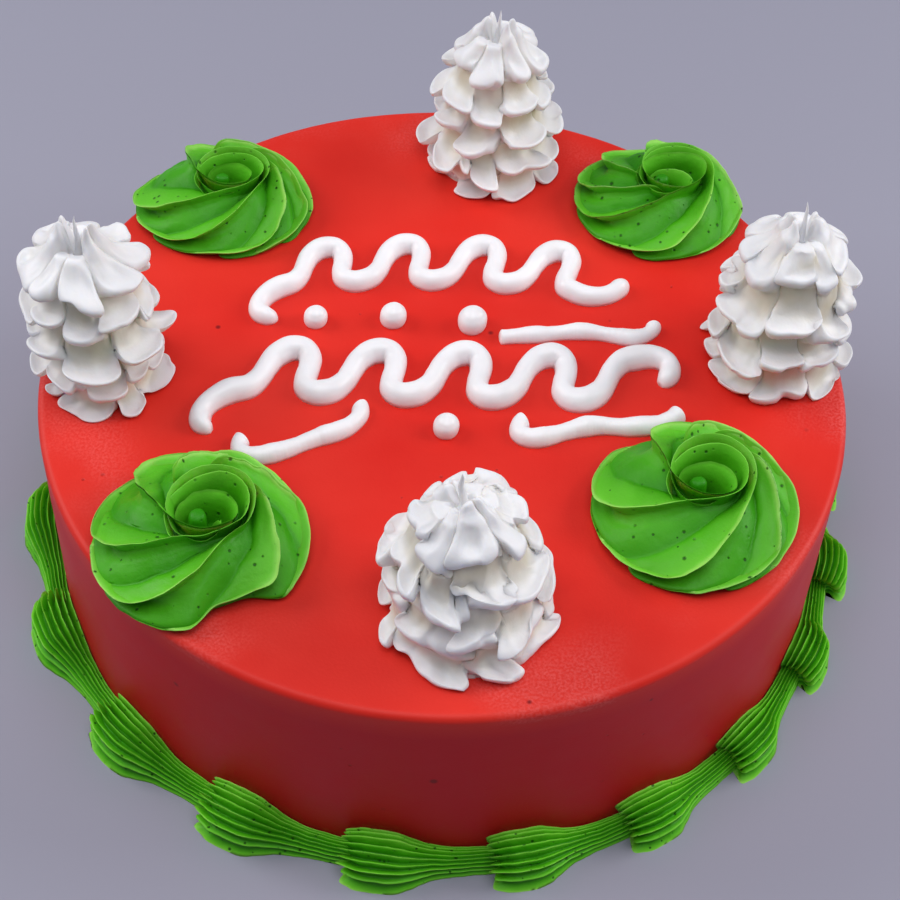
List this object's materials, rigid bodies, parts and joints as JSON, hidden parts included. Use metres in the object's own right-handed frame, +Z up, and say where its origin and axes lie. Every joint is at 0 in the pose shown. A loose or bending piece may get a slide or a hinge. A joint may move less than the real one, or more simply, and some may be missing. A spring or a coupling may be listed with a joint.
{
  "type": "christmas cake",
  "caption": "Round red iced cake with green cream rosettes, tall white cream towers, white piped waves and a green shell border round its foot.",
  "frame": {"origin": "middle of the cake's flat underside", "axes": "+Z up through the cake's top, -Y towards the side seen in front, +X to the right of that view"},
  "size_m": [0.237, 0.239, 0.1218],
  "materials": {
    "red_icing": "smooth satin red icing with fine spatula marks",
    "green_cream": "soft bright green buttercream, satin",
    "green_border": "darker green ribbed buttercream, satin",
    "white_cream": "white whipped cream, soft satin",
    "white_piping": "smooth white piped icing, slight sheen"
  },
  "bodies": {
    "root": {"cake_body": "red_icing", "border_shell_01": "green_border", "border_shell_02": "green_border", "border_shell_03": "green_border", "border_shell_04": "green_border", "border_shell_05": "green_border", "border_shell_06": "green_border", "border_shell_07": "green_border", "border_shell_08": "green_border", "border_shell_09": "green_border", "border_shell_10": "green_border", "border_shell_11": "green_border", "border_shell_12": "green_border", "border_shell_13": "green_border", "border_shell_14": "green_border", "border_shell_15": "green_border", "border_shell_16": "green_border", "border_shell_17": "green_border", "border_shell_18": "green_border", "border_shell_19": "green_border", "border_shell_20": "green_border", "rosette_back_left": "green_cream", "rosette_back_right": "green_cream", "rosette_front_left": "green_cream", "rosette_front_right": "green_cream", "tower_left": "white_cream", "tower_back": "white_cream", "tower_right": "white_cream", "tower_front": "white_cream", "wave_upper": "white_piping", "wave_lower": "white_piping", "flourish_upper": "white_piping", "flourish_left": "white_piping", "flourish_right": "white_piping", "drop_1": "white_piping", "drop_2": "white_piping", "drop_3": "white_piping", "drop_4": "white_piping"}
  },
  "joints": []
}
